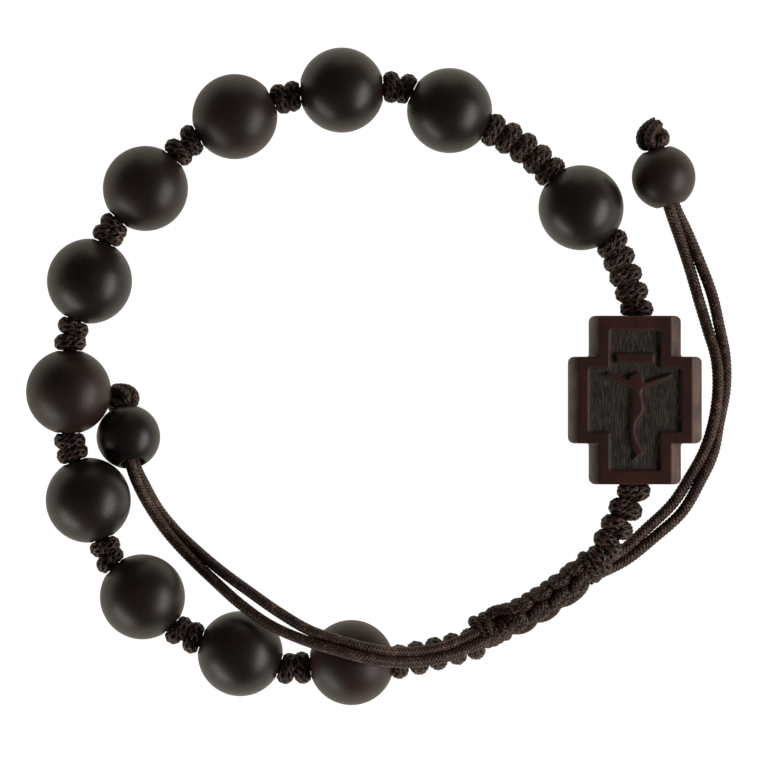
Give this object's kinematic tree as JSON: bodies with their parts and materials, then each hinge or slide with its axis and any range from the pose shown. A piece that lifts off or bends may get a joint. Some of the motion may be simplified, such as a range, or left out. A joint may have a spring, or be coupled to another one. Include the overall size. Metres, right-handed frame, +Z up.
{
  "type": "rosary bracelet",
  "caption": "Knotted cord bracelet of round dark wooden beads with a carved flat cross, closed by a sliding knot whose two pairs of tails end in stop beads.",
  "frame": {"origin": "centre of the closed loop's bounding box, on the surface that the bracelet lies on, measured without the loose tails", "axes": "+Z up out of the surface and along the way a hand goes in, +X from the loop's middle towards the cross, +Y along the cross from its foot to its head"},
  "size_m": [0.083, 0.0772, 0.0112],
  "materials": {
    "bead_wood": "satin polished, near-black dark wood",
    "stop_bead_wood": "satin polished, near-black dark wood",
    "cross_wood": "satin oiled, dark reddish brown wood",
    "cord": "waxed braided cord, near-black brown"
  },
  "bodies": {
    "root": {"cross": "cross_wood", "sliding_knot": "cord", "thread": "cord", "bead_01": "bead_wood", "bead_02": "bead_wood", "bead_03": "bead_wood", "bead_04": "bead_wood", "bead_05": "bead_wood", "bead_06": "bead_wood", "bead_07": "bead_wood", "bead_08": "bead_wood", "bead_09": "bead_wood", "bead_10": "bead_wood", "bead_11": "bead_wood", "knot_01": "cord", "knot_02": "cord", "knot_03": "cord", "knot_04": "cord", "knot_05": "cord", "knot_06": "cord", "knot_07": "cord", "knot_08": "cord", "knot_09": "cord", "knot_10": "cord", "knot_11": "cord", "knot_12": "cord", "knot_13": "cord", "right_tail_inner": "cord", "right_tail_outer": "cord", "left_tail_inner": "cord", "left_tail_outer": "cord", "right_stop_bead": "stop_bead_wood", "left_stop_bead": "stop_bead_wood", "right_end_knot": "cord", "left_end_knot": "cord"}
  },
  "joints": []
}
